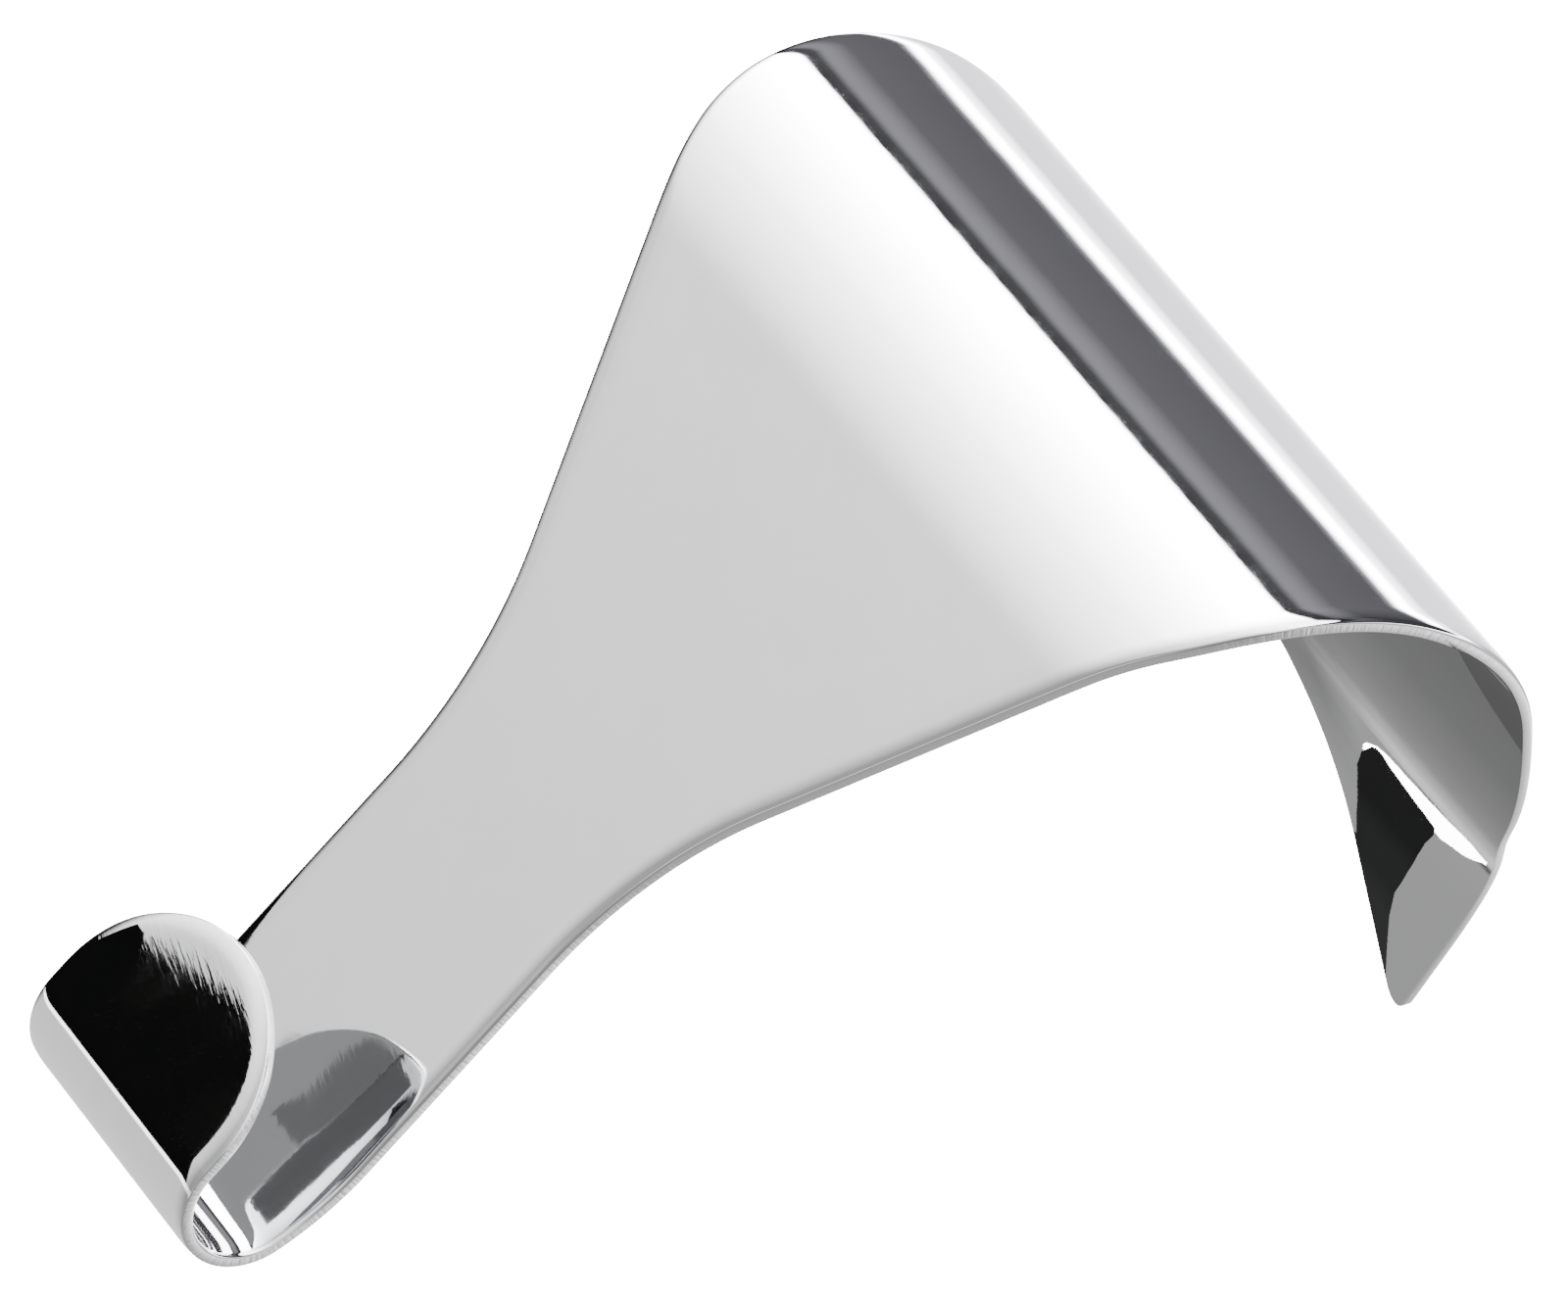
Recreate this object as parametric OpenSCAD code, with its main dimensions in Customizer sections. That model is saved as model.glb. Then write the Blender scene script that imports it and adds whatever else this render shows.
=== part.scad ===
// Picture-rail hook: one strip of sheet metal, blanked to an outline and bent three ways.
// A wide lip drops over a wall moulding, the plate hangs down its front, and the narrow
// lower end curls forward into the hook that holds the cord.
//
// Frame: X across the strip, +Y towards the wall, +Z up. The origin is the rail seat, the
// highest point of the inside of the top bend, in the middle of the width.

/* [Sheet] */
// Thickness of the sheet
sheet_t = 0.55; // [0.4:0.05:1]
// Full width across the top bend
strip_w = 38; // [32:0.5:44]
// Width of the neck, the hook and the tongue
neck_w = 12.2; // [10:0.2:13.2]

/* [Hook] */
// Straight height of the tongue in front of the hook
tongue_h = 6; // [5.5:0.05:12]
// Radius of the hook bend, at the middle of the sheet
hook_r = 2.45; // [1.8:0.05:4]
// Turn of the hook bend
hook_turn = 161; // [150:1:168]
// Radius of the gentle bend that takes the strip back up into the plate
heel_r = 12.3; // [6:0.5:20]
// Radius of the crown of the tongue's round end
tongue_crown_r = 6.7; // [6.4:0.1:8]
// Radius of the corners of the tongue's round end
tongue_corner_r = 4.8; // [3:0.1:5]

/* [Plate] */
// Straight height of the plate
plate_h = 30.8; // [27:0.1:50]
// Angle of the flaring sides, from upright
flare_angle = 31; // [29:0.1:34]
// Radius from the neck into the flare
neck_round_r = 18; // [10:0.5:20]
// Radius from the flare out to the full width
shoulder_round_r = 11.8; // [6:0.2:14]

/* [Top bend] */
// Radius where the plate starts to bend back, at the middle of the sheet
front_r = 6.5; // [5:0.1:8]
// Turn of that first, tighter bend
front_turn = 26; // [18:1:40]
// Radius over the top of the moulding, at the middle of the sheet
crest_r = 11; // [9:0.1:14]
// Slope of the strip where it leaves the top bend, below level
back_slope = 29.5; // [24:0.5:40]

/* [Lip] */
// Straight run behind the top bend
back_run = 7.4; // [2:0.1:10]
// Radius of the reverse bend
kick_r = 17; // [8:0.5:24]
// Slope of the strip on the ledge, below level
ledge_slope = 18; // [8:0.5:22]
// Straight run of the ledge
ledge_run = 2.5; // [1:0.1:6]
// Radius of the bend above the nose
nose_r = 21; // [6:0.5:26]
// Slope of the nose, below level
nose_slope = 42.5; // [30:0.5:50]
// Radius of the long shoulders that narrow the lip, seen from above
lip_round_r = 25; // [20:0.5:32]
// Angle of the nose's straight sides to its middle line, seen from above
nose_angle = 38.7; // [34:0.1:42]
// Radius of the nose's tip
tip_r = 0.8; // [0.5:0.1:2]

/* [Hidden] */

$fn = 120;
chrome = [0.80, 0.81, 0.83];
over = 1;
half_t = sheet_t / 2;
half_w = strip_w / 2;
half_neck = neck_w / 2;

// The strip's middle line, from the end of the tongue to past the tip of the nose. A run
// is [length, 0] and a bend is [radius, turn]; a positive turn is to the left, seen from +X.
nose_run = 12;
path = [
    [tongue_h, 0],
    [hook_r, hook_turn],
    [heel_r, 180 - hook_turn],
    [plate_h, 0],
    [front_r, -front_turn],
    [crest_r, front_turn - 90 - back_slope],
    [back_run, 0],
    [kick_r, back_slope - ledge_slope],
    [ledge_run, 0],
    [nose_r, ledge_slope - nose_slope],
    [nose_run, 0]
];
hook_bend = 1;
crest_bend = 5;
// Largest turn of one flat on the gentle bends
flat_turn = 4;

// A place on the middle line is [y, z, heading], and a heading of 90 is straight up
function is_bend(step) = step[1] != 0;
function side(step) = step[1] > 0 ? 1 : -1;
function ahead(place) = [cos(place[2]), sin(place[2])];
function left(place) = [-sin(place[2]), cos(place[2])];
function flat(place) = [place[0], place[1]];
function bend_centre(place, step) = flat(place) + side(step) * step[0] * left(place);
function turned(place, step) = [place[0], place[1], place[2] + step[1]];
function after_run(place, step) = flat(place) + step[0] * ahead(place);
function after_bend(place, step) =
    bend_centre(place, step) - side(step) * step[0] * left(turned(place, step));
function after(place, step) =
    concat(is_bend(step) ? after_bend(place, step) : after_run(place, step), place[2] + step[1]);
function place_from(first, i) = i == 0 ? first : after(place_from(first, i - 1), path[i - 1]);

// The first place is set so that the inside of the crest comes to the origin
loose_start = [0, 0, -90];
loose_crest = bend_centre(place_from(loose_start, crest_bend), path[crest_bend])
    + [0, crest_r - half_t];
start = concat(-loose_crest, -90);
function place(i) = place_from(start, i);

hook_centre = bend_centre(place(hook_bend), path[hook_bend]);
hook_bottom = hook_centre[1] - hook_r - half_t;
tongue_top = place(0)[1];
strip_end = place(len(path))[0];

// The strip is widest part of the way up the crest bend, where the front outline hands
// over to the plan outline
widest_slope = 15.5;
crest_centre = [0, half_t - crest_r];
widest_y = crest_centre[0] - crest_r * sin(widest_slope);
widest_z = crest_centre[1] + crest_r * cos(widest_slope);

// Sides of the plate, seen from the front as [x, z]
shoulder_end = widest_z - half_t;
flare_corner = [half_w, shoulder_end - shoulder_round_r * tan(flare_angle / 2)];
neck_corner = [half_neck, flare_corner[1] - (half_w - half_neck) / tan(flare_angle)];
flare = [sin(flare_angle), cos(flare_angle)];

// Sides of the lip, seen from above as [x, y]
lip_corner = [half_w, widest_y + lip_round_r * tan(nose_angle / 2)];
nose_point = [0, lip_corner[1] + half_w / tan(nose_angle)];
nose = [sin(nose_angle), -cos(nose_angle)];

// Material between a corner and the arc that rounds it, reaching on past the corner. legs
// are the two directions away from the corner, and turn is how far the outline turns there.
module corner_web(corner, r, turn, legs) {
    to_centre = r / cos(turn / 2) * (legs[0] + legs[1]) / norm(legs[0] + legs[1]);
    reach = r * tan(turn / 2);
    kite = [-to_centre, legs[0] * reach - to_centre, [0, 0], legs[1] * reach - to_centre];
    translate(corner + to_centre) difference() {
        polygon((1 + over / r) * kite);
        circle(r);
    }
}

module both_sides() {
    children();
    mirror([1, 0, 0]) children();
}

// What the outline takes off beside the neck and the flare, seen from the front
module flare_waste() {
    difference() {
        polygon([
            [half_neck, hook_bottom - over],
            neck_corner,
            flare_corner,
            [half_w, half_t + over],
            [half_w + 2 * over, half_t + over],
            [half_w + 2 * over, hook_bottom - over]
        ]);
        corner_web(neck_corner, neck_round_r, flare_angle, [[0, -1], flare]);
    }
}

// What the outline takes off around the tongue's three-centred end, seen from the front
module tongue_waste() {
    crown_z = tongue_top - tongue_crown_r;
    corner_x = half_neck - tongue_corner_r;
    corner_z = crown_z + sqrt(pow(tongue_crown_r - tongue_corner_r, 2) - pow(corner_x, 2));
    outward = [corner_x, corner_z - crown_z] / (tongue_crown_r - tongue_corner_r);
    difference() {
        translate([0, corner_z]) square([half_neck + over, tongue_top + over - corner_z]);
        translate([0, crown_z]) intersection() {
            circle(tongue_crown_r);
            polygon([[0, 0], outward * 3 * tongue_crown_r, [0, 2 * tongue_crown_r]]);
        }
        translate([corner_x, corner_z]) circle(tongue_corner_r);
        polygon([
            [0, corner_z],
            [corner_x, corner_z],
            [corner_x, corner_z] + outward * tongue_corner_r,
            [0, crown_z + tongue_crown_r * outward[1]]
        ]);
    }
}

// What the outline takes off beside the lip, seen from above
module lip_waste() {
    polygon([
        [half_w, widest_y],
        lip_corner,
        nose_point,
        [0, strip_end + over],
        [half_w + 2 * over, strip_end + over],
        [half_w + 2 * over, widest_y]
    ]);
}

// The places along the path from number first to number last, with more of them on bends
function along(place, step, share) = share > 0
    ? after(place, [step[0], step[1] * share])
    : place;
function shares(step) = is_bend(step)
    ? [for (k = [0:ceil(abs(step[1]) / flat_turn) - 1]) k / ceil(abs(step[1]) / flat_turn)]
    : [0];
function places(first, last) = concat(
    [for (i = [first:last - 1]) for (share = shares(path[i])) along(place(i), path[i], share)],
    [place(last)]
);

// The strip from one place to another, seen from the side
module strip_side(first, last) {
    line = places(first, last);
    polygon([
        for (place = line) flat(place) + half_t * left(place),
        for (i = [len(line) - 1:-1:0]) flat(line[i]) - half_t * left(line[i])
    ]);
}

// The hook bend, seen from the side: a true ring, kept between its two end lines
module hook_side(from, to) {
    clear_r = 2 * hook_r;
    intersection() {
        translate(hook_centre) difference() {
            circle(hook_r + half_t);
            circle(hook_r - half_t);
        }
        polygon([
            hook_centre,
            flat(from) + half_t * left(from),
            flat(from) - half_t * left(from),
            hook_centre - clear_r * left(from),
            hook_centre - clear_r * (left(from) - tan(hook_turn / 2) * ahead(from)),
            hook_centre - clear_r * left(to),
            flat(to) - half_t * left(to),
            flat(to) + half_t * left(to)
        ]);
    }
}

// The bent strip before its outline is cut, a little wider than it ends up
module blank() {
    module across() rotate([90, 0, 90]) linear_extrude(strip_w + over, center = true) children();
    across() strip_side(0, hook_bend);
    across() hook_side(place(hook_bend), place(hook_bend + 1));
    across() strip_side(hook_bend + 1, len(path));
}

// The space in front of a y value, through each outline seen from the front
module cut_back_to(y) {
    both_sides() for (i = [0:$children - 1])
        translate([0, y, 0]) rotate([90, 0, 0]) linear_extrude(strip_w) children(i);
}

// The space below the top of the strip, through each outline seen from above
module cut_down() {
    both_sides() for (i = [0:$children - 1])
        translate([0, 0, hook_bottom]) linear_extrude(over - hook_bottom) children(i);
}

module hook_strip() {
    color(chrome) difference() {
        blank();
        cut_back_to(widest_y + over / 2) {
            flare_waste();
            corner_web(flare_corner, shoulder_round_r, flare_angle, [[0, 1], -flare]);
        }
        cut_back_to(hook_centre[0]) tongue_waste();
        cut_down() {
            lip_waste();
            corner_web(lip_corner, lip_round_r, nose_angle, [[0, -1], -nose]);
            corner_web(nose_point, tip_r, 180 - 2 * nose_angle, [nose, [-nose[0], nose[1]]]);
        }
    }
}

hook_strip();
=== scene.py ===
from math import ceil, cos, degrees, pi, radians, sin, sqrt, tan

import bmesh
import bpy
import numpy as np
from mathutils import Matrix, Vector


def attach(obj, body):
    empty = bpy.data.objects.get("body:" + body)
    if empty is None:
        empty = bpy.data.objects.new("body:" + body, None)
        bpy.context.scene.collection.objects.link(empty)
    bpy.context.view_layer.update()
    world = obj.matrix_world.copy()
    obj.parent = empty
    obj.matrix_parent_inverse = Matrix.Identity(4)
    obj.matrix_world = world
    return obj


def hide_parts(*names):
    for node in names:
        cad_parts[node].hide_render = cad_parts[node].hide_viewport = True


# Picture-rail hook: one bent strip of mirror-chromed sheet metal, built from the same
# dimensions as the CAD part, with the edge rolls, the blanked edges and the small waves
# that the real sheet shows. Lengths are in millimetres, and MM turns them into metres
# where an object is made.

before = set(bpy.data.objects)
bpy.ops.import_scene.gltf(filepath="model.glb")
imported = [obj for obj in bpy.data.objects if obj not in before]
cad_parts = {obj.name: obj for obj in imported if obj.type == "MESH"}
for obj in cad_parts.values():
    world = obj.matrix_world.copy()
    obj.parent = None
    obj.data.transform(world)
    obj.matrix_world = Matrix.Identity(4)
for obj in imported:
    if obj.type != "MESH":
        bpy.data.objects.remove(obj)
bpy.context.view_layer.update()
MM = 0.001

# ---- Dimensions, the same as the CAD part's ----

SHEET_T = 0.55
STRIP_W = 38.0
NECK_W = 12.2
TONGUE_H, HOOK_R, HOOK_TURN, HEEL_R = 6.0, 2.45, 161.0, 12.3
TONGUE_CROWN_R, TONGUE_CORNER_R = 6.7, 4.8
PLATE_H, FLARE_ANGLE, NECK_ROUND_R, SHOULDER_ROUND_R = 30.8, 31.0, 18.0, 11.8
FRONT_R, FRONT_TURN, CREST_R, BACK_SLOPE = 6.5, 26.0, 11.0, 29.5
BACK_RUN, KICK_R, LEDGE_SLOPE, LEDGE_RUN = 7.4, 17.0, 18.0, 2.5
NOSE_R, NOSE_SLOPE, NOSE_RUN = 21.0, 42.5, 12.0
LIP_ROUND_R, NOSE_ANGLE, TIP_R = 25.0, 38.7, 0.8
WIDEST_SLOPE = 15.5

HALF_T = SHEET_T / 2
HALF_W = STRIP_W / 2
HALF_NECK = NECK_W / 2

# ---- The middle line of the strip, seen from +X: places are (y, z, heading) ----

# A run is (length, 0), and a bend is (radius, turn), with a positive turn to the left
PATH = [
    (TONGUE_H, 0),
    (HOOK_R, HOOK_TURN),
    (HEEL_R, 180 - HOOK_TURN),
    (PLATE_H, 0),
    (FRONT_R, -FRONT_TURN),
    (CREST_R, FRONT_TURN - 90 - BACK_SLOPE),
    (BACK_RUN, 0),
    (KICK_R, BACK_SLOPE - LEDGE_SLOPE),
    (LEDGE_RUN, 0),
    (NOSE_R, LEDGE_SLOPE - NOSE_SLOPE),
    (NOSE_RUN, 0),
]
HOOK_BEND, PLATE, FRONT_BEND, CREST_BEND, LEDGE, NOSE_END = 1, 3, 4, 5, 8, 10


def run_length(step):
    size, turn = step
    return size * radians(abs(turn)) if turn else size


def advance(place, step, share):
    y, z, heading = place
    size, turn = step
    h = radians(heading)
    if not turn:
        return (y + size * share * cos(h), z + size * share * sin(h), heading)
    side = 1 if turn > 0 else -1
    centre = (y - side * size * sin(h), z + side * size * cos(h))
    end = h + radians(turn * share)
    return (centre[0] + side * size * sin(end), centre[1] - side * size * cos(end), degrees(end))


def walk(first):
    found = [first]
    for step in PATH:
        found.append(advance(found[-1], step, 1))
    return found


def crest_offset():
    y, z, heading = walk((0, 0, -90))[CREST_BEND]
    h = radians(heading)
    return y + CREST_R * sin(h), z - CREST_R * cos(h) + CREST_R - HALF_T


OFFSET = crest_offset()
PLACES = walk((-OFFSET[0], -OFFSET[1], -90))
MARKS = [0.0]
for path_step in PATH:
    MARKS.append(MARKS[-1] + run_length(path_step))


def place_at(s):
    i = max(k for k in range(len(PATH)) if MARKS[k] <= s + 1e-9)
    return advance(PLACES[i], PATH[i], (s - MARKS[i]) / run_length(PATH[i]))


# The sheet eases into the front bend over this length on each side of its start, and the
# small offset that this makes fades out over the next stretch
EASE, FADE = 1.5, 4.0


def ease_offset(s):
    """How far the eased sheet stands behind the plain path, square to it."""
    u = s - MARKS[FRONT_BEND] + EASE
    if u <= 0 or u >= 2 * EASE + FADE:
        return 0.0
    if u < 2 * EASE:
        plain = max(u - EASE, 0) ** 2 / (2 * FRONT_R)
        return u ** 3 / (12 * EASE * FRONT_R) - plain
    return EASE ** 2 / (6 * FRONT_R) * (1 + cos(pi * (u - 2 * EASE) / FADE)) / 2


# ---- The outline: half the strip's width at a length s along it ----

TONGUE_TOP = PLACES[0][1]
WIDEST_Y = -CREST_R * sin(radians(WIDEST_SLOPE))
WIDEST_Z = HALF_T - CREST_R + CREST_R * cos(radians(WIDEST_SLOPE))
SHOULDER_END = WIDEST_Z - HALF_T
FLARE = radians(FLARE_ANGLE)
FLARE_CORNER_Z = SHOULDER_END - SHOULDER_ROUND_R * tan(FLARE / 2)
NECK_CORNER_Z = FLARE_CORNER_Z - (HALF_W - HALF_NECK) / tan(FLARE)
NECK_END = NECK_CORNER_Z - NECK_ROUND_R * tan(FLARE / 2)
NOSE = radians(NOSE_ANGLE)
LIP_END = WIDEST_Y + LIP_ROUND_R * sin(NOSE)
NOSE_POINT_Y = WIDEST_Y + LIP_ROUND_R * tan(NOSE / 2) + HALF_W / tan(NOSE)
TIP_CENTRE_Y = NOSE_POINT_Y - TIP_R / sin(NOSE)
TIP_Y = TIP_CENTRE_Y + TIP_R


def tongue_width(z):
    crown_z = TONGUE_TOP - TONGUE_CROWN_R
    corner_x = HALF_NECK - TONGUE_CORNER_R
    gap = TONGUE_CROWN_R - TONGUE_CORNER_R
    corner_z = crown_z + sqrt(gap ** 2 - corner_x ** 2)
    if z <= corner_z:
        return HALF_NECK
    handover = crown_z + (corner_z - crown_z) * TONGUE_CROWN_R / gap
    if z >= handover:
        return sqrt(max(TONGUE_CROWN_R ** 2 - (z - crown_z) ** 2, 0))
    return corner_x + sqrt(TONGUE_CORNER_R ** 2 - (z - corner_z) ** 2)


def front_width(z):
    if z <= NECK_END:
        return HALF_NECK
    if z <= NECK_END + NECK_ROUND_R * sin(FLARE):
        return HALF_NECK + NECK_ROUND_R - sqrt(NECK_ROUND_R ** 2 - (z - NECK_END) ** 2)
    if z < SHOULDER_END - SHOULDER_ROUND_R * sin(FLARE):
        return HALF_NECK + (z - NECK_CORNER_Z) * tan(FLARE)
    if z < SHOULDER_END:
        return HALF_W - SHOULDER_ROUND_R + sqrt(SHOULDER_ROUND_R ** 2 - (SHOULDER_END - z) ** 2)
    return HALF_W


def lip_width(y):
    if y <= LIP_END:
        return HALF_W - LIP_ROUND_R + sqrt(LIP_ROUND_R ** 2 - (y - WIDEST_Y) ** 2)
    if y <= TIP_CENTRE_Y + TIP_R * sin(NOSE):
        return (NOSE_POINT_Y - y) * tan(NOSE)
    return sqrt(max(TIP_R ** 2 - (y - TIP_CENTRE_Y) ** 2, 0))


WIDEST_S = MARKS[CREST_BEND + 1] - CREST_R * radians(BACK_SLOPE + WIDEST_SLOPE)
# The blanked edge is square to the sheet, so the nose ends a little sooner than its CAD
# solid, whose end is upright
END_TRIM = HALF_T * tan(radians(NOSE_SLOPE))


def length_at_y(y):
    y_start, _, heading = PLACES[NOSE_END]
    return MARKS[NOSE_END] + (y - y_start) / cos(radians(heading))


TIP_S = length_at_y(TIP_Y) - END_TRIM


def half_width(s):
    if s <= TONGUE_H:
        return tongue_width(TONGUE_TOP - s)
    if s < WIDEST_S:
        return front_width(place_at(s)[1])
    trim = END_TRIM * (s - WIDEST_S) / (TIP_S - WIDEST_S)
    return lip_width(place_at(s + trim)[0])


# ---- Mesh of the strip ----

# Steps between rows of vertices: in millimetres, in degrees on bends, and along the tongue
ROW_STEP, BEND_STEP, TONGUE_STEP = 0.2, 3.0, 0.12
# Round the tongue's end, the step and the span of the rows, in radians
CROWN_STEP, CROWN_SPAN = 0.03, 0.62
# The rows bunch up over the last stretch before the tip, and the even rows stop short of it
TIP_STRETCH, TIP_ROWS, TIP_BUNCHING = 1.1, 24, 1.7
TIP_GAP = 0.1
# Places of the columns in from each edge
EDGE_STEPS = [0, 0.012, 0.03, 0.055, 0.085, 0.13, 0.19, 0.27, 0.38, 0.52, 0.7, 0.9]
INNER_COLUMNS = 34
# The long soft roll towards the edges, the part of it left on the other face, the least
# half width that it fits in, and the radii of the corners of the two faces
ROLL_WIDTH, ROLL_DEPTH, ROLL_POWER = 0.9, 0.075, 2.5
LEAST_ROLL = 0.1
FULL_ROWS_FROM = 2.2 * ROLL_WIDTH
FRONT_CORNER_R, BACK_CORNER_R = 0.13, 0.045
# How strong the polishing marks are between the two ends, and the length over which they
# grow to full strength
FAINT_MARKS, MARKS_FADE = 0.12, 2
# The angle in degrees from which an edge is shaded sharp
SHARP_EDGE = 38
DISTANCE_BATCH = 2000
# In metres: vertices this close are joined, and edges this short are taken out
WELD_GAP, LEAST_EDGE = 1e-7, 1e-8
# Length in millimetres that one unit of the noises' pattern covers
PATTERN_UNIT = 10


def row_lengths():
    """The values of s that carry a row of vertices, closer together on bends and ends."""
    rows = [TONGUE_CROWN_R * (1 - cos(a)) for a in np.arange(0, CROWN_SPAN, CROWN_STEP)]
    rows += list(np.arange(rows[-1] + TONGUE_STEP, TONGUE_H, TONGUE_STEP))
    for i, step in enumerate(PATH[HOOK_BEND:NOSE_END], HOOK_BEND):
        fine = ceil(abs(step[1]) / BEND_STEP)
        count = max(fine, ceil(run_length(step) / ROW_STEP))
        rows += list(np.linspace(MARKS[i], MARKS[i + 1], count, endpoint=False))
    rows += list(np.arange(MARKS[NOSE_END], TIP_S - TIP_STRETCH - TIP_GAP, ROW_STEP))
    shares = np.linspace(0, 1, TIP_ROWS)
    rows += [TIP_S - TIP_STRETCH * (1 - u) ** TIP_BUNCHING for u in shares]
    return sorted(rows)


def columns(w):
    """The values of x on a row, from one edge to the other, bunched up near the edges."""
    squeeze = min(1.0, w / FULL_ROWS_FROM)
    near = [w - e * squeeze for e in EDGE_STEPS]
    inner = np.linspace(near[-1], -near[-1], INNER_COLUMNS)[1:-1]
    return near + list(inner) + [-x for x in reversed(near)]


def edge_distance(points, outline):
    """The distance in the flat pattern from each point to the outline."""
    a = outline[:-1]
    b = outline[1:]
    along = b - a
    size = np.maximum((along ** 2).sum(1), 1e-12)
    found = []
    for first in range(0, len(points), DISTANCE_BATCH):
        p = points[first:first + DISTANCE_BATCH, None, :]
        share = np.clip(((p - a) * along).sum(2) / size, 0, 1)
        gap = p - (a + share[..., None] * along)
        found.append(np.sqrt((gap ** 2).sum(2).min(1)))
    return np.concatenate(found)


def drop(distance, corner_r, depth):
    """How far a face falls towards its edge: a long soft roll, then the corner's radius."""
    roll = depth * np.clip(1 - distance / ROLL_WIDTH, 0, 1) ** ROLL_POWER
    inside = np.clip(corner_r - distance, 0, corner_r)
    return roll + corner_r - np.sqrt(corner_r ** 2 - inside ** 2)


def strip_mesh():
    rows = row_lengths()
    grid = [[(s, x) for x in columns(half_width(s))] for s in rows]
    flat = np.array(grid).reshape(-1, 2)
    side = np.array([row[0] for row in grid])
    other = np.array([row[-1] for row in grid])
    outline = np.concatenate([side, other[::-1]])
    distance = edge_distance(flat, outline)
    middle = np.array([place_at(s) for s in rows]).repeat(len(grid[0]), axis=0)
    heading = np.radians(middle[:, 2])
    left = np.stack([-np.sin(heading), np.cos(heading)], axis=1)
    eased = np.array([ease_offset(s) for s in rows]).repeat(len(grid[0]))
    middle[:, :2] -= left * eased[:, None]

    def face_points(height):
        yz = middle[:, :2] + left * height[:, None]
        return np.column_stack([flat[:, 1], yz]) * MM

    # The strip was blanked and polished from its outside, which is the front of the plate
    # and, past the hook bend, the front of the tongue
    turned = np.clip((flat[:, 0] - MARKS[HOOK_BEND]) / (MARKS[PLATE] - MARKS[HOOK_BEND]), 0, 1)
    front_roll = ROLL_DEPTH * (LEAST_ROLL + (1 - LEAST_ROLL) * turned)
    back_roll = ROLL_DEPTH * (1 - (1 - LEAST_ROLL) * turned)
    front = face_points(HALF_T - drop(distance, FRONT_CORNER_R, front_roll))
    back = face_points(drop(distance, BACK_CORNER_R, back_roll) - HALF_T)
    count = len(flat)
    wide = len(grid[0])
    tall = len(rows)
    faces = []
    kinds = []
    for r in range(tall - 1):
        for c in range(wide - 1):
            q = (r * wide + c, r * wide + c + 1, (r + 1) * wide + c + 1, (r + 1) * wide + c)
            faces.append(q)
            faces.append(tuple(count + k for k in reversed(q)))
            kinds += [0, 0]
    for r in range(tall - 1):
        for c, turn in ((0, 1), (wide - 1, -1)):
            a, b = r * wide + c, (r + 1) * wide + c
            faces.append((a, b, count + b, count + a)[::turn])
            kinds.append(1)
    mesh = bpy.data.meshes.new("hook_strip_chrome")
    mesh.from_pydata([tuple(v) for v in np.concatenate([front, back])], [], faces)
    layer = mesh.uv_layers.new(name="pattern")
    both = np.concatenate([flat, flat])
    index = np.array([loop.vertex_index for loop in mesh.loops])
    pattern = both[index][:, ::-1] / PATTERN_UNIT
    layer.data.foreach_set("uv", pattern.astype(np.float32).ravel())
    mesh.polygons.foreach_set("material_index", kinds)
    # Polishing marks are plain at the tongue and the nose, and faint between
    marks = mesh.attributes.new("marks", "FLOAT", "POINT")
    from_ends = np.minimum(both[:, 0] - MARKS[HOOK_BEND], MARKS[LEDGE] - both[:, 0])
    strength = np.clip(-from_ends / MARKS_FADE, FAINT_MARKS, 1)
    marks.data.foreach_set("value", strength.astype(np.float32))
    return mesh


def weld(mesh):
    """Joins the vertices that meet at the two ends of the strip."""
    work = bmesh.new()
    work.from_mesh(mesh)
    bmesh.ops.remove_doubles(work, verts=work.verts, dist=WELD_GAP)
    bmesh.ops.dissolve_degenerate(work, edges=work.edges, dist=LEAST_EDGE)
    bmesh.ops.recalc_face_normals(work, faces=work.faces)
    work.to_mesh(mesh)
    work.free()


def build_strip():
    mesh = strip_mesh()
    weld(mesh)
    mesh.shade_smooth()
    mesh.set_sharp_from_angle(angle=radians(SHARP_EDGE))
    obj = bpy.data.objects.new("hook_strip_chrome", mesh)
    bpy.context.scene.collection.objects.link(obj)
    return obj


# ---- Materials ----

# The range that most of a noise falls in
NOISE_LOW, NOISE_HIGH = 0.35, 0.65
# Heights of the bumps, in metres: press waves, polishing marks and shear lines
WAVE_BUMP, MARK_BUMP, SHEAR_BUMP = 0.000010, 0.0000022, 0.00003
# How far the polishing marks lean, in degrees
MARK_LEAN = 16


def math_node(tree, operation, a, b=None):
    made = tree.nodes.new("ShaderNodeMath")
    made.operation = operation
    for socket, value in zip(made.inputs, (a, b)):
        if value is None:
            continue
        if isinstance(value, (int, float)):
            socket.default_value = value
        else:
            tree.links.new(value, socket)
    return made.outputs[0]


def stretched_noise(tree, scale, detail, lean=0.0):
    """Noise over the flat pattern, with a separate scale across and along the strip."""
    source = tree.nodes.new("ShaderNodeTexCoord").outputs["UV"]
    mapping = tree.nodes.new("ShaderNodeMapping")
    mapping.vector_type = "TEXTURE"
    mapping.inputs["Scale"].default_value = [1 / size for size in scale]
    mapping.inputs["Rotation"].default_value = (0, 0, radians(lean))
    tree.links.new(source, mapping.inputs["Vector"])
    noise = tree.nodes.new("ShaderNodeTexNoise")
    noise.inputs["Scale"].default_value = 1.0
    noise.inputs["Detail"].default_value = detail
    tree.links.new(mapping.outputs["Vector"], noise.inputs["Vector"])
    return noise.outputs["Fac"]


def bump(tree, height, distance, normal=None):
    made = tree.nodes.new("ShaderNodeBump")
    made.inputs["Strength"].default_value = 1.0
    made.inputs["Distance"].default_value = distance
    tree.links.new(height, made.inputs["Height"])
    if normal is not None:
        tree.links.new(normal, made.inputs["Normal"])
    return made.outputs["Normal"]


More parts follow.
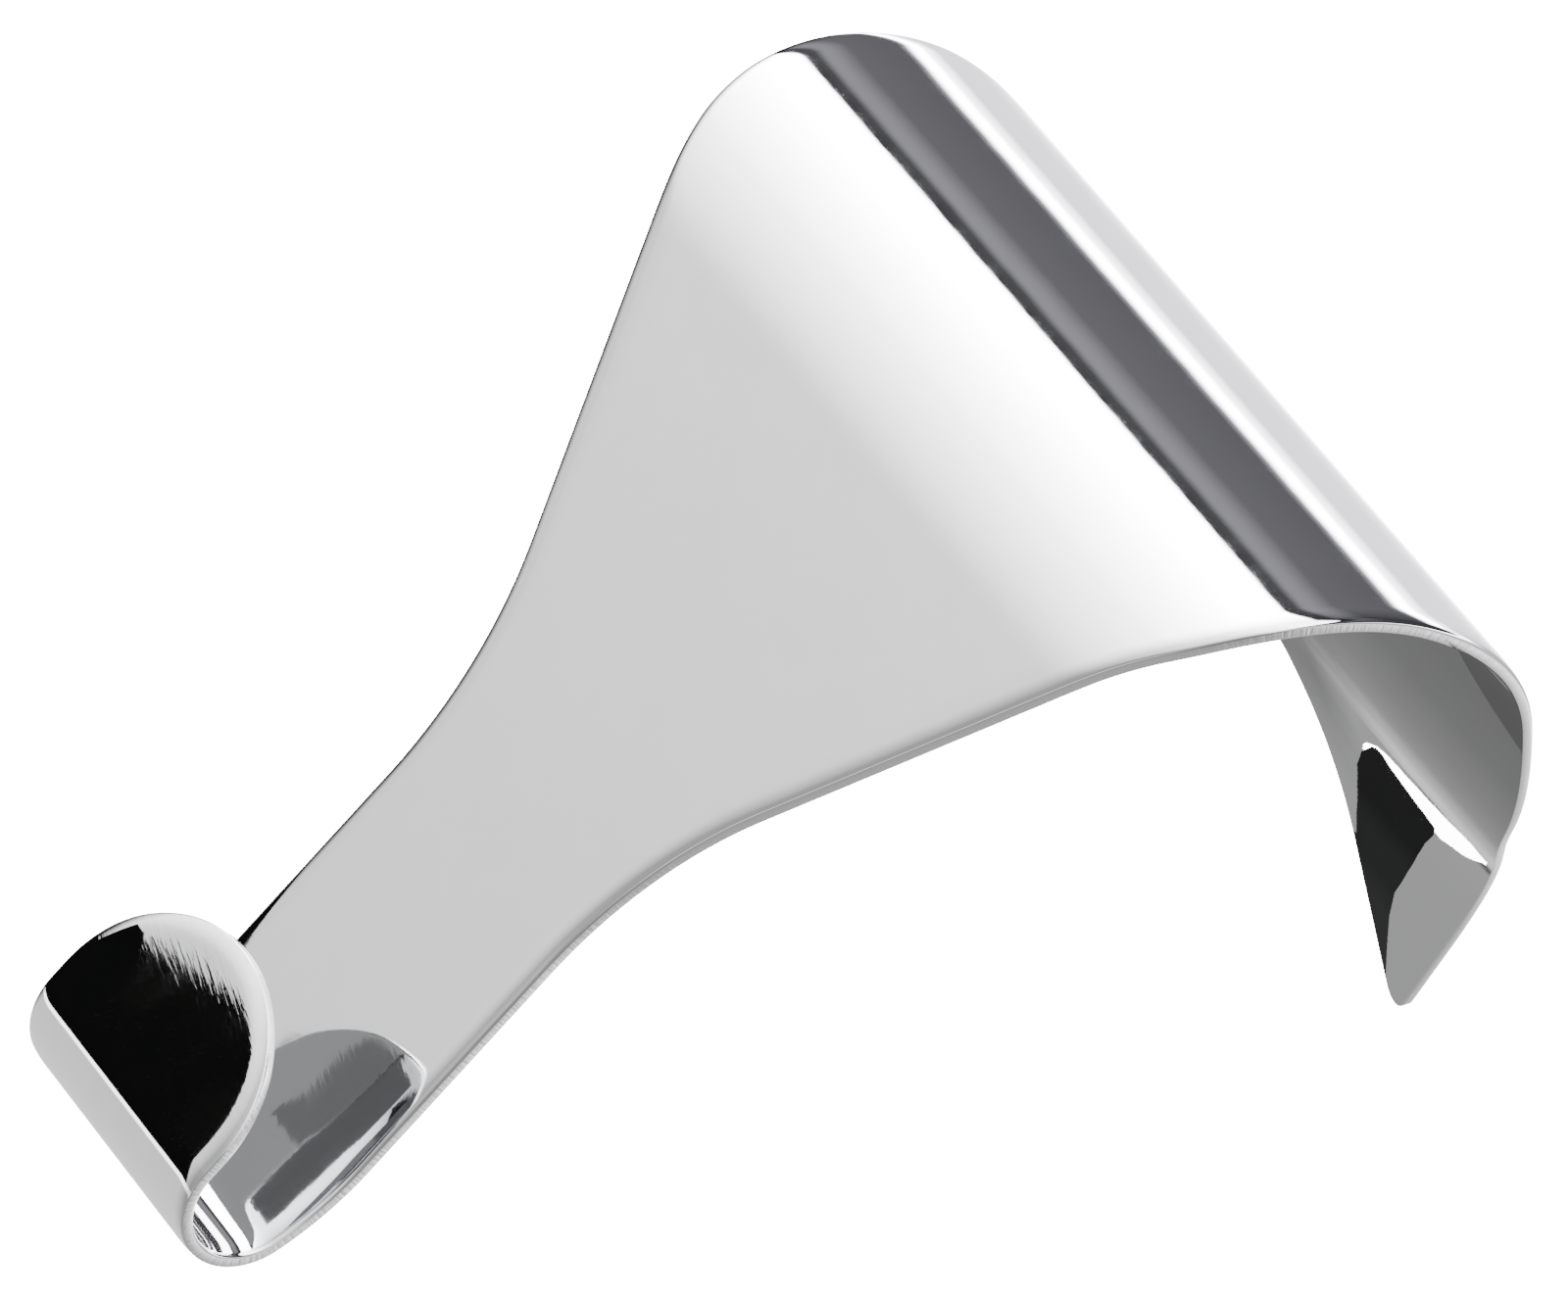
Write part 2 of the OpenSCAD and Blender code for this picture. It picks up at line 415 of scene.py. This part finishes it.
def map_range(tree, value, low, high):
    """Turns a noise into a value from low to high."""
    made = tree.nodes.new("ShaderNodeMapRange")
    made.inputs["From Min"].default_value = NOISE_LOW
    made.inputs["From Max"].default_value = NOISE_HIGH
    made.inputs["To Min"].default_value = low
    made.inputs["To Max"].default_value = high
    tree.links.new(value, made.inputs["Value"])
    return made.outputs["Result"]


def chrome_face():
    mat = bpy.data.materials.new("chrome_face")
    mat.use_nodes = True
    tree = mat.node_tree
    shader = tree.nodes["Principled BSDF"]
    shader.inputs["Base Color"].default_value = (0.80, 0.805, 0.82, 1)
    shader.inputs["Metallic"].default_value = 1.0
    # Slow waves from the press, then fine polishing marks across the strip
    waves = stretched_noise(tree, (2.2, 1.6, 1), 2.0)
    marks = stretched_noise(tree, (6, 55, 1), 3.0, MARK_LEAN)
    strength = tree.nodes.new("ShaderNodeAttribute")
    strength.attribute_name = "marks"
    marks = math_node(tree, "MULTIPLY", marks, strength.outputs["Fac"])
    slow = bump(tree, waves, WAVE_BUMP)
    both = bump(tree, marks, MARK_BUMP, slow)
    tree.links.new(both, shader.inputs["Normal"])
    haze = stretched_noise(tree, (6, 2, 1), 4.0)
    tree.links.new(map_range(tree, haze, 0.02, 0.05), shader.inputs["Roughness"])
    return mat


def chrome_edge():
    mat = bpy.data.materials.new("chrome_edge")
    mat.use_nodes = True
    tree = mat.node_tree
    shader = tree.nodes["Principled BSDF"]
    shader.inputs["Base Color"].default_value = (0.82, 0.82, 0.83, 1)
    shader.inputs["Metallic"].default_value = 1.0
    lines = stretched_noise(tree, (3, 70, 1), 3.0)
    tree.links.new(bump(tree, lines, SHEAR_BUMP), shader.inputs["Normal"])
    tree.links.new(map_range(tree, lines, 0.22, 0.42), shader.inputs["Roughness"])
    return mat


# ---- Studio: light by direction, cards and floor ----

# The strength of full white
WHITE = 20.0
# The studio's sight line: its share along X, and its heading in the YZ plane
SIGHT_ACROSS, SIGHT_FALL = -0.70, -10.95
# Each stop is a heading in the YZ plane, in degrees from +Y towards +Z, and the light
# that comes from there. The strip's bends run along X, so each heading lights one band.
STUDIO = [
    (0, 8.0), (4, 4.2), (8, 3.1), (18, 2.2), (38, 2.2), (45, 7.5), (47, WHITE), (51, WHITE),
    (54, 0.7), (57, 0.15), (80, 0.18), (87, 0.36), (91, 0.40), (94, 0.10), (98, 0.07),
    (99.4, 0.07), (99.9, WHITE), (114, WHITE), (120, 17), (128, 13), (137, 9.4), (150, 6.4),
    (165, 4.8), (180, 3.4), (187, 2.4), (190, 1.8), (191.5, 1.58), (194, 1.36), (221, 1.1),
    (223, 5), (227, 5), (229, 1.1),
]
LAST_STOPS = [(316, 1.25), (338, 1.5), (350, 3.8), (356, 7)]
# The light between these headings is a little cool
COOL, COOL_UNTIL = (0.985, 0.975, 1.04), 100
# Across the strip: how much of that light is left towards -X and +X. Rolled edges that
# turn away towards -X find a dark band just inside that end of the room, and both far
# ends are softly lit.
ENDS = [
    (-1, 0.3), (-0.97, 0.25), (-0.94, 0.03), (-0.875, 0.03), (-0.81, 1), (-0.66, 1),
    (-0.5, 0.38), (0.6, 0.42), (0.78, 0.35), (0.9, 0.25), (1, 0.25),
]


def grey_ramp(tree, value, levels):
    ramp = tree.nodes.new("ShaderNodeValToRGB")
    tree.links.new(value, ramp.inputs["Fac"])
    stops = ramp.color_ramp.elements
    while len(stops) > 1:
        stops.remove(stops[-1])
    for k, (position, level) in enumerate(levels):
        stop = stops[0] if k == 0 else stops.new(position)
        stop.position = position
        stop.color = (level, level, level, 1)
    return ramp.outputs["Color"]


def light_bands(tree, turns):
    """The studio's light around the X axis, as two ramps, since one holds 32 stops."""
    first = grey_ramp(tree, turns, [(h / 360, v / WHITE) for h, v in STUDIO])
    last = grey_ramp(tree, turns, [(h / 360, v / WHITE) for h, v in STUDIO[-1:] + LAST_STOPS])
    return mixed(tree, math_node(tree, "GREATER_THAN", turns, STUDIO[-1][0] / 360), first, last)


def mixed(tree, share, a, b):
    made = tree.nodes.new("ShaderNodeMix")
    made.data_type = "RGBA"
    tree.links.new(share, made.inputs[0])
    for socket, value in ((made.inputs[6], a), (made.inputs[7], b)):
        if isinstance(value, tuple):
            socket.default_value = value
        else:
            tree.links.new(value, socket)
    return made.outputs[2]


def studio_light():
    world = bpy.data.worlds.new("studio")
    bpy.context.scene.world = world
    world.use_nodes = True
    tree = world.node_tree
    tree.nodes.clear()
    split = tree.nodes.new("ShaderNodeSeparateXYZ")
    source = tree.nodes.new("ShaderNodeTexCoord")
    tree.links.new(source.outputs["Generated"], split.inputs[0])
    angle = math_node(tree, "ARCTAN2", split.outputs["Z"], split.outputs["Y"])
    turns = math_node(tree, "FRACT", math_node(tree, "DIVIDE", angle, 2 * pi))
    round_studio = light_bands(tree, turns)
    across = math_node(tree, "MULTIPLY_ADD", split.outputs["X"], 0.5)
    across.node.inputs[2].default_value = 0.5
    ends = grey_ramp(tree, across, [((x + 1) / 2, v) for x, v in ENDS])
    both = math_node(tree, "MULTIPLY", round_studio, ends)
    reflected = tree.nodes.new("ShaderNodeBackground")
    tree.links.new(math_node(tree, "MULTIPLY", both, WHITE), reflected.inputs["Strength"])
    cool = math_node(tree, "LESS_THAN", turns, COOL_UNTIL / 360)
    tint = mixed(tree, cool, (1, 1, 1, 1), COOL + (1,))
    tree.links.new(tint, reflected.inputs["Color"])
    seen = tree.nodes.new("ShaderNodeBackground")
    seen.inputs["Color"].default_value = (1, 1, 1, 1)
    seen.inputs["Strength"].default_value = WHITE
    ray = tree.nodes.new("ShaderNodeLightPath")
    mix = tree.nodes.new("ShaderNodeMixShader")
    tree.links.new(ray.outputs["Is Camera Ray"], mix.inputs["Fac"])
    tree.links.new(reflected.outputs[0], mix.inputs[1])
    tree.links.new(seen.outputs[0], mix.inputs[2])
    out = tree.nodes.new("ShaderNodeOutputWorld")
    tree.links.new(mix.outputs[0], out.inputs["Surface"])


def glow(name, level):
    mat = bpy.data.materials.new(name)
    mat.use_nodes = True
    tree = mat.node_tree
    tree.nodes.clear()
    light = tree.nodes.new("ShaderNodeEmission")
    light.inputs["Color"].default_value = (1, 1, 1, 1)
    light.inputs["Strength"].default_value = level
    out = tree.nodes.new("ShaderNodeOutputMaterial")
    tree.links.new(light.outputs[0], out.inputs["Surface"])
    return mat


def one_sided_glow(name):
    """Light from the front of a panel, at its "level" attribute; its back isn't there."""
    mat = bpy.data.materials.new(name)
    mat.use_nodes = True
    tree = mat.node_tree
    tree.nodes.clear()
    level = tree.nodes.new("ShaderNodeAttribute")
    level.attribute_name = "level"
    light = tree.nodes.new("ShaderNodeEmission")
    tree.links.new(level.outputs["Fac"], light.inputs["Strength"])
    clear = tree.nodes.new("ShaderNodeBsdfTransparent")
    behind = tree.nodes.new("ShaderNodeNewGeometry")
    mix = tree.nodes.new("ShaderNodeMixShader")
    tree.links.new(behind.outputs["Backfacing"], mix.inputs["Fac"])
    tree.links.new(light.outputs[0], mix.inputs[1])
    tree.links.new(clear.outputs[0], mix.inputs[2])
    out = tree.nodes.new("ShaderNodeOutputMaterial")
    tree.links.new(mix.outputs[0], out.inputs["Surface"])
    return mat


def stage_panel(name, points, faces, levels):
    mesh = bpy.data.meshes.new(name)
    mesh.from_pydata([[c * MM for c in point] for point in points], [], faces)
    level = mesh.attributes.new("level", "FLOAT", "POINT")
    level.data.foreach_set("value", levels)
    mesh.materials.append(one_sided_glow(name))
    obj = bpy.data.objects.new(name, mesh)
    bpy.context.scene.collection.objects.link(obj)
    obj.visible_camera = False
    obj.visible_shadow = False


def card(name, corners, level):
    """A flat panel that the chrome reflects and the camera doesn't see."""
    stage_panel(name, corners, [range(len(corners))], [level] * len(corners))


def lip_panel(name, rows, reach):
    """A panel close under the lip. Each row is s, then pairs of x and light, and its points
    lie where the studio's sight line, mirrored in the strip's underside there, gets to."""
    sight = radians(SIGHT_FALL)
    flat = sqrt(1 - SIGHT_ACROSS ** 2)
    points = []
    levels = []
    for s, pairs in rows:
        y, z, heading = place_at(s)
        h = radians(heading)
        away = 2 * h - sight
        y += HALF_T * sin(h) + reach * flat * cos(away)
        z += -HALF_T * cos(h) + reach * flat * sin(away)
        points += [(x + reach * SIGHT_ACROSS, y, z) for x, _ in pairs]
        levels += [level for _, level in pairs]
    wide = len(rows[0][1])
    faces = [(wide * r + c, wide * r + c + 1, wide * (r + 1) + c + 1, wide * (r + 1) + c)
             for r in range(len(rows) - 1) for c in range(wide - 1)]
    stage_panel(name, points, faces, levels)


def plain_rows(rows):
    return [(s, ((x0, level), (x1, level))) for s, x0, x1, level in rows]


def crease_row(s, left, right):
    """A row of the light along the crease, which fades towards -X."""
    return s, ((-9, left), (-4, left), (0, (left + right) / 2), (3, right), (20, right))


def side_row(s, left, right):
    """A row of the grey beside the crease, darkest at the lip's left edge."""
    return s, ((-13, left), (-4.5, left), (-1.5, right))


# Light of the flat cards
BLACK_CARD, DIM_CARD, GREY_CARD = 0.006, 0.2, 0.43
MOUTH_CARD = 0.18


def set_cards():
    # In front, low: darkens the tongue and the front of the hook bend. The notch lets the
    # neck see past it.
    card("tongue_flag", [(-27, -50, -44.6), (-27, -50, -74), (-90, -50, -74),
                         (-90, -50, -47.8), (-42.3, -50, -47.8), (-42.3, -50, -52),
                         (-40, -50, -52), (-40, -50, -47.8)], BLACK_CARD)
    # Close to the left of the tongue: carries its dark side out to its left edge
    card("tongue_edge", [(-6.6, -16.35, -43.4), (-6.6, -16.35, -42.3), (-6.6, -16.9, -40.8),
                         (-6.6, -17.75, -39.4), (-6.6, -18.7, -39.7), (-6.6, -19.4, -40.5),
                         (-6.6, -19.4, -43.9)], BLACK_CARD)
    # Far in front and beside the hook: what the neck sees by way of the tongue
    card("hook_flag", [(-42.3, -49, -47.3), (-42.3, -49, -57), (-52, -49, -57),
                       (-52, -49, -47.3)], DIM_CARD)
    card("mouth_front", [(-5.7, -12.5, -38.9), (-5.7, -12.5, -45), (-9, -12.5, -45),
                         (-9, -12.5, -38.6)], MOUTH_CARD)
    card("mouth_back", [(-10, 4, -50), (-10, 4, -41.5), (-22.6, 4, -41.5),
                        (-22.6, 4, -50)], DIM_CARD)
    # To the left and behind: the greys inside the lip and in the back of the tongue
    card("lip_wall", [(-25, -9, -51), (-25, 62, -51), (-25, 62, -10),
                      (-25, -9, -10)], GREY_CARD)
    # Close under the lip: the shade under the crest, the light along the crease, the grey
    # beside it, the dark side of the nose and the bright line above it
    lip_panel("crest_shade", plain_rows([
        (60, 6, 20, 0.12), (66.8, 12, 20, 0.12), (68.2, 13.6, 20, 0.12), (69.2, 15.3, 20, 0.12),
        (69.8, 17, 20, 0.125), (70.1, 19, 20, 0.13),
    ]), 0.8)
    lip_panel("lip_glow", [
        crease_row(60, 0.17, 0.17), crease_row(69, 0.19, 0.19), crease_row(73, 0.22, 0.21),
        crease_row(76, 0.22, 0.27), crease_row(78.3, 0.23, 0.35), crease_row(80.2, 0.24, 0.62),
        crease_row(81.6, 0.25, 0.95), crease_row(82.7, 0.25, 0.9),
    ], 1.2)
    lip_panel("lip_side", [
        side_row(82.6, 0.24, 0.42), side_row(84, 0.25, 0.44), side_row(85.5, 0.3, 0.44),
        side_row(87, 0.36, 0.43), side_row(89, 0.43, 0.43),
    ], 1.1)
    lip_panel("nose_line", plain_rows([
        (82.5, 7.6, 8.9, 16), (82.9, 5.9, 8.6, 16), (83.2, 4.2, 8.1, 16), (83.5, 0.9, 7.7, 16),
        (83.8, 0, 7.3, 16), (84.2, -0.6, 6.7, 16), (84.6, -1.2, 6, 16), (85, -1.6, 5, 16),
        (85.4, -1.8, 4, 16),
    ]), 1.0)
    lip_panel("nose_flag", plain_rows([
        (84, -0.1, 0.3, 0.02), (84.4, -0.7, 0.9, 0.02), (84.8, -1.1, 2.4, 0.02),
        (85.1, -1.4, 3.7, 0.02), (85.8, -2.1, 3.3, 0.02), (87, -2.8, 2.3, 0.02),
        (88.2, -3.05, 1.5, 0.02), (89.7, -3.25, 0.6, 0.03), (90.7, -3.3, 0.05, 0.03),
        (91.3, -5, -0.3, 0.03), (92.6, -5, -0.6, 0.04), (97.5, -5, -0.8, 0.05),
        (100, -5, -0.9, 0.05),
    ]), 0.9)


# Half the floor's size in metres, and how far it lies below the hook
FLOOR_HALF, FLOOR_GAP = 4.0, 12


def set_floor():
    half = FLOOR_HALF
    hook_bottom = place_at(MARKS[HOOK_BEND] + HOOK_R * pi / 2)[1] - HALF_T
    z = (hook_bottom - FLOOR_GAP) * MM
    mesh = bpy.data.meshes.new("floor")
    corners = [(-half, -half, z), (half, -half, z), (half, half, z), (-half, half, z)]
    mesh.from_pydata(corners, [], [range(4)])
    mesh.materials.append(glow("pale_floor", WHITE))
    obj = bpy.data.objects.new("floor", mesh)
    bpy.context.scene.collection.objects.link(obj)
    obj.visible_glossy = False
    obj.visible_diffuse = False


# ---- Camera ----

YAW, PITCH, ROLL = 45.0, 7.787, 42.501
DISTANCE, LENS, SENSOR_W = 742.5, 491.1, 36
SIGHT = Vector((0, -10.56, -15.28))
AIM_RIGHT, AIM_UP = 1.088, -3.011


def set_camera():
    yaw, pitch, roll = radians(YAW), radians(PITCH), radians(ROLL)
    level_right = Vector((cos(yaw), sin(yaw), 0))
    forward = Vector((-sin(yaw) * cos(pitch), cos(yaw) * cos(pitch), -sin(pitch)))
    level_up = Vector((-sin(yaw) * sin(pitch), cos(yaw) * sin(pitch), cos(pitch)))
    right = cos(roll) * level_right + sin(roll) * level_up
    up = cos(roll) * level_up - sin(roll) * level_right
    eye = SIGHT - DISTANCE * forward
    forward = (SIGHT + AIM_RIGHT * right + AIM_UP * up - eye).normalized()
    right = (right - right.dot(forward) * forward).normalized()
    up = right.cross(forward)
    data = bpy.data.cameras.new("camera")
    data.lens = LENS
    data.sensor_width = SENSOR_W
    data.clip_start = 0.05
    data.clip_end = 20
    obj = bpy.data.objects.new("camera", data)
    bpy.context.scene.collection.objects.link(obj)
    turn = Matrix((right, up, -forward)).transposed().to_4x4()
    obj.matrix_world = Matrix.Translation(eye * MM) @ turn
    bpy.context.scene.camera = obj


# ---- Scene ----

set_camera()
strip = build_strip()
strip.data.materials.append(chrome_face())
strip.data.materials.append(chrome_edge())
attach(strip, "root")
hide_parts("hook_strip")
studio_light()
set_cards()
set_floor()
